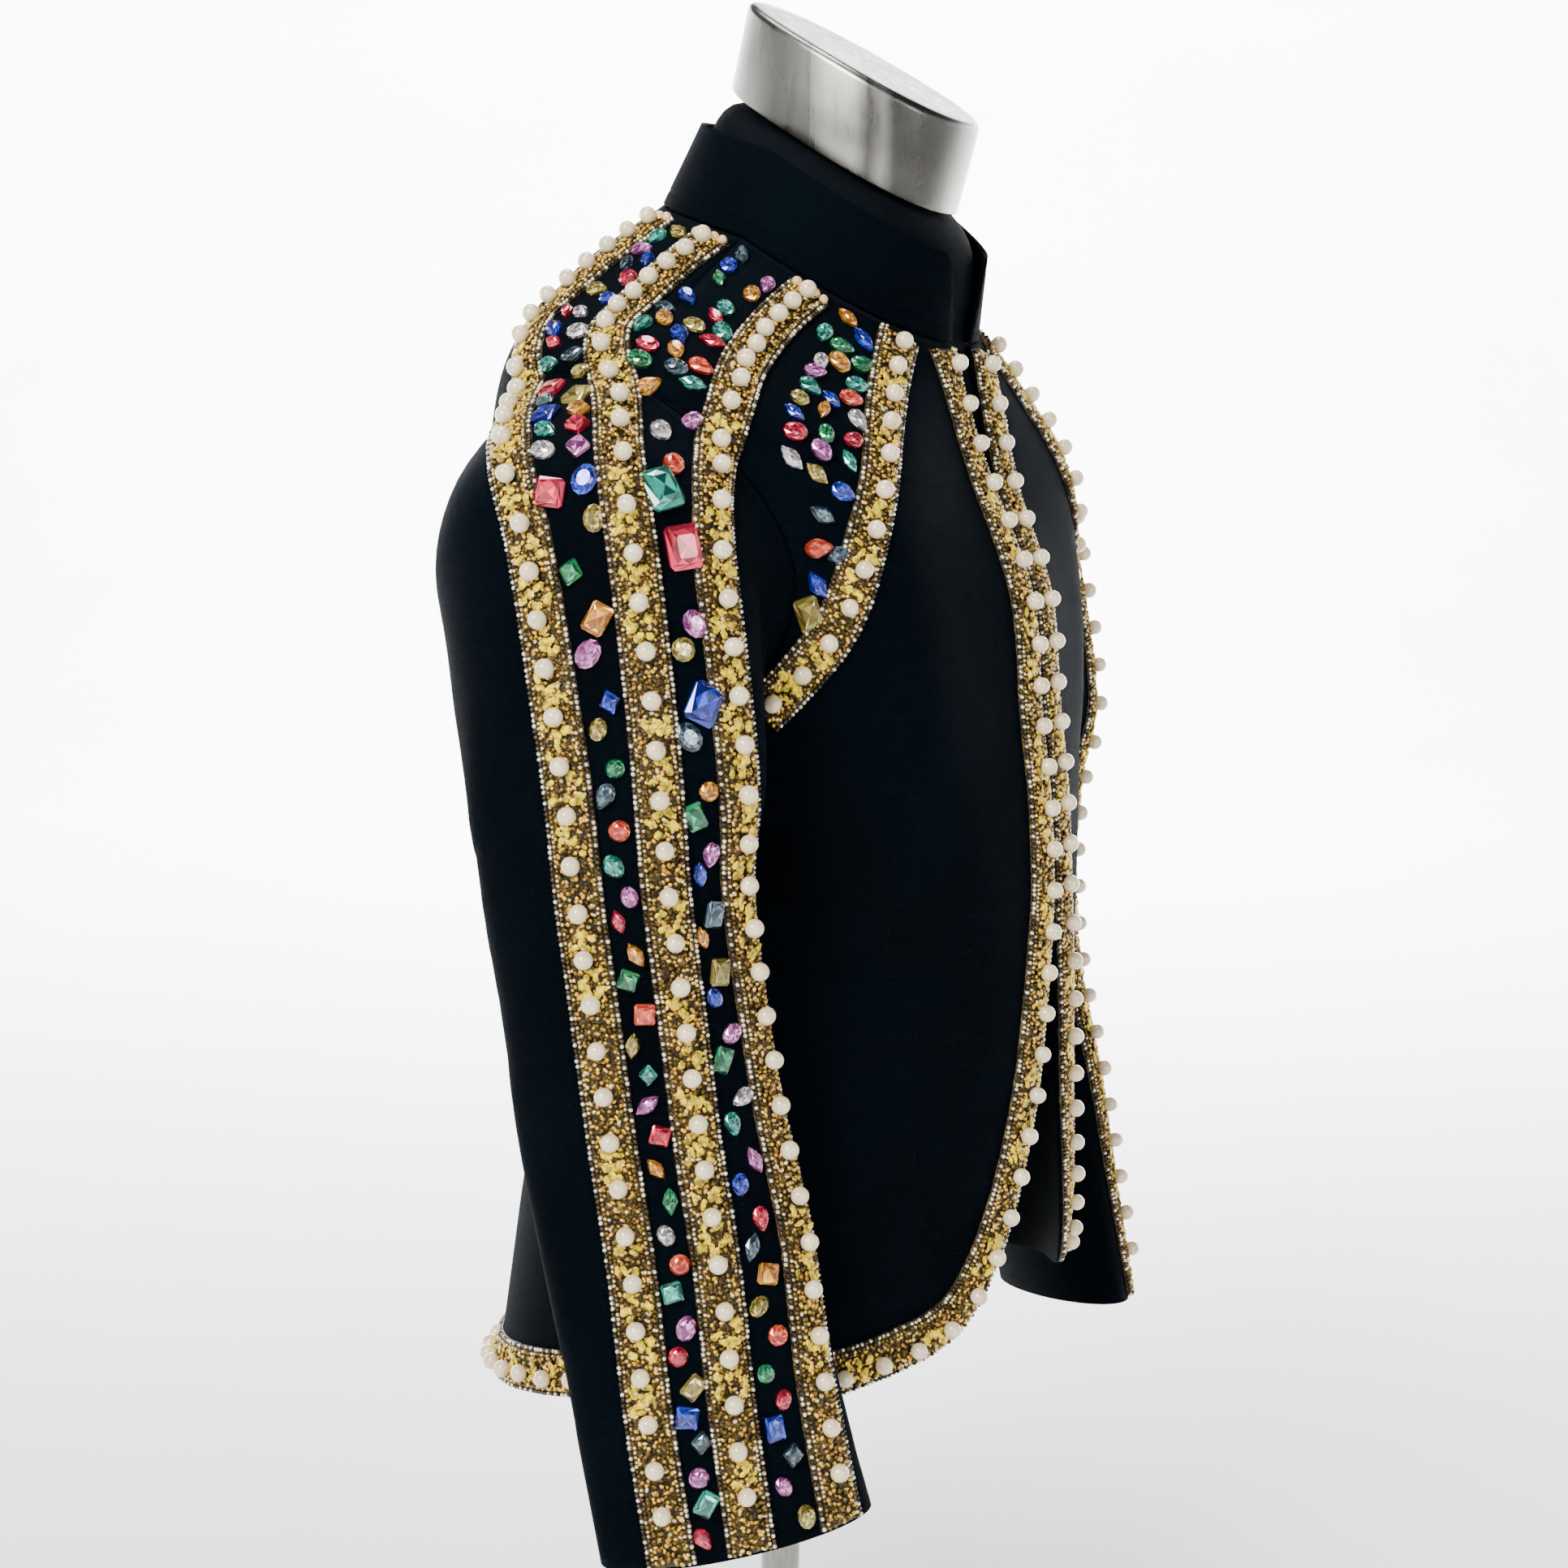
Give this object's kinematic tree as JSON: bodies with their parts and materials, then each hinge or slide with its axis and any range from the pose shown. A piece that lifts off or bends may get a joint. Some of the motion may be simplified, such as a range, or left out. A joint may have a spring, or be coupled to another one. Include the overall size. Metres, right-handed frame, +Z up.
{
  "type": "beaded jacket on a dress form",
  "caption": "Cropped stand-collar jacket with a curved cutaway front, its edges, shoulders and sleeves laid with beaded bands and stones, on a limbless dress form with neck cap and round base",
  "frame": {"origin": "the middle of the stand's underside, on the floor", "axes": "+Z up, -Y the way the jacket faces, +X the wearer's left"},
  "size_m": [0.556, 0.3201, 0.9683],
  "materials": {
    "jacket_cloth": "matte near-black wool",
    "gold_beading": "gold thread, seed beads and pearls on a cloth strip",
    "form_cover": "matte black stretch cover",
    "form_steel": "brushed"
  },
  "bodies": {
    "root": {"front_right": "jacket_cloth", "front_left": "jacket_cloth", "back": "jacket_cloth", "sleeve_right": "jacket_cloth", "sleeve_left": "jacket_cloth", "collar": "jacket_cloth", "edge_band_right": "gold_beading", "edge_band_left": "gold_beading", "hem_band": "gold_beading", "chest_band_right": "gold_beading", "chest_band_left": "gold_beading", "rear_band_right": "gold_beading", "rear_band_left": "gold_beading", "middle_band_right": "gold_beading", "middle_band_left": "gold_beading", "front_band_right": "gold_beading", "front_band_left": "gold_beading", "form_torso": "form_cover", "form_cap": "form_steel", "form_pole": "form_steel", "form_base": "form_steel"}
  },
  "joints": []
}
